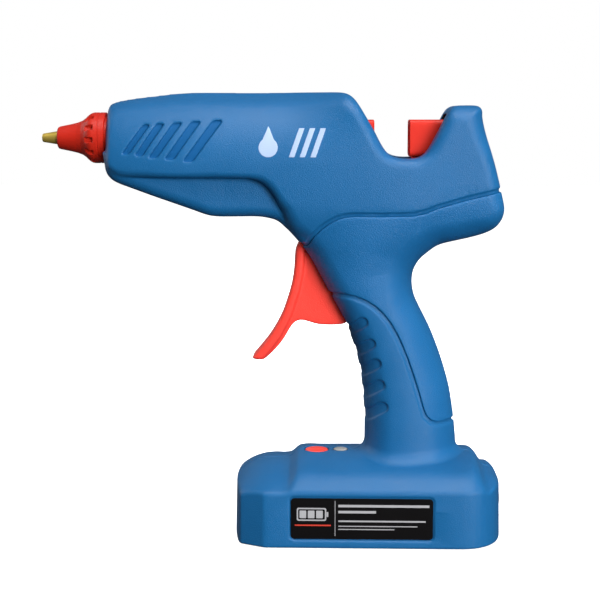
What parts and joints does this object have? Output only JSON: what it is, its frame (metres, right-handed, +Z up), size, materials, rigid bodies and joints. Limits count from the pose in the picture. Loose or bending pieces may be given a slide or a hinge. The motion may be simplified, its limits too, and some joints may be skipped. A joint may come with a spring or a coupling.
{
  "type": "cordless hot glue gun",
  "caption": "Cordless hot-melt glue gun with a long barrel, open stick saddle, pull trigger, slim grip and a wide battery foot with a push switch.",
  "frame": {"origin": "centre of the foot's flat underside", "axes": "+X along the gun towards the stick inlet (the nozzle points to -X), +Y towards the gun's right side, +Z up"},
  "size_m": [0.2052, 0.068, 0.1967],
  "materials": {
    "housing_blue": "fine-grained moulded ABS",
    "grip_blue": "coarse-grained soft over-mould",
    "trigger_red": "smooth moulded",
    "collar_red": "smooth heat-resistant",
    "brass": "machined, heat-tinted",
    "steel": "plain",
    "aluminium": "die-cast",
    "black_plastic": "moulded",
    "white_ceramic": "unglazed",
    "silicone": "moulded",
    "board_green": "solder mask",
    "cell_wrap": "shrink sleeve",
    "label_black": "printed foil",
    "lens_grey": "clear moulded",
    "wire_red": "insulation",
    "wire_black": "insulation"
  },
  "bodies": {
    "gun_body": {"housing_left": "housing_blue", "housing_right": "housing_blue", "soft_grip_left": "grip_blue", "soft_grip_right": "grip_blue", "nozzle": "brass", "nozzle_collar": "collar_red", "check_ball": "steel", "check_spring": "steel", "melt_chamber": "aluminium", "ptc_heater": "white_ceramic", "heater_clip": "steel", "thermal_fuse": "steel", "front_support": "white_ceramic", "rear_support": "white_ceramic", "inlet_sleeve": "silicone", "sleeve_clamp": "steel", "stick_guide": "trigger_red", "trigger_pin": "steel", "return_spring": "steel", "tact_switch": "black_plastic", "indicator_lens": "lens_grey", "indicator_led": "white_ceramic", "control_board": "board_green", "battery_cell_1": "cell_wrap", "battery_cell_2": "cell_wrap", "battery_cell_3": "cell_wrap", "cell_holder": "black_plastic", "cell_strip_front": "steel", "cell_strip_rear": "steel", "charging_jack": "black_plastic", "heater_lead_red": "wire_red", "heater_lead_black": "wire_black", "battery_lead_red": "wire_red", "battery_lead_black": "wire_black", "rating_label": "label_black", "housing_screw_1": "steel", "housing_screw_2": "steel", "housing_screw_3": "steel", "housing_screw_4": "steel", "housing_screw_5": "steel", "housing_screw_6": "steel", "housing_screw_7": "steel", "housing_screw_8": "steel"},
    "trigger": {"trigger": "trigger_red"},
    "feed": {"feed_carriage": "trigger_red", "drive_pin": "steel", "clamp_pin": "steel"},
    "clamp": {"feed_clamp": "steel"},
    "button": {"power_button": "trigger_red"}
  },
  "joints": [
    {"name": "trigger_pull", "type": "hinge", "parent": "gun_body", "child": "trigger", "pos_m": [-0.02, 0, 0.137], "axis": [0, -1, 0], "range_deg": [0, 23], "stiffness_Nm_per_rad": 0.8, "springref_deg": -8.59, "deforming": ["return_spring"]},
    {"name": "feed_slide", "type": "slide", "parent": "gun_body", "child": "feed", "axis": [-1, 0, 0], "range_m": [0, 0.0112]},
    {"name": "clamp_bite", "type": "hinge", "parent": "feed", "child": "clamp", "pos_m": [0.031, 0, 0.1634], "axis": [0, -1, 0], "range_deg": [0, 4.2]},
    {"name": "button_press", "type": "slide", "parent": "gun_body", "child": "button", "axis": [0, 0, -1], "range_m": [0, 0.0008], "stiffness_N_per_m": 3000, "springref_m": -0.0001}
  ],
  "couplings": [
    {"joint": "feed_slide", "follows": "trigger_pull", "m_per_rad": 0.027166},
    {"joint": "clamp_bite", "follows": "trigger_pull", "ratio": 0.1739}
  ]
}
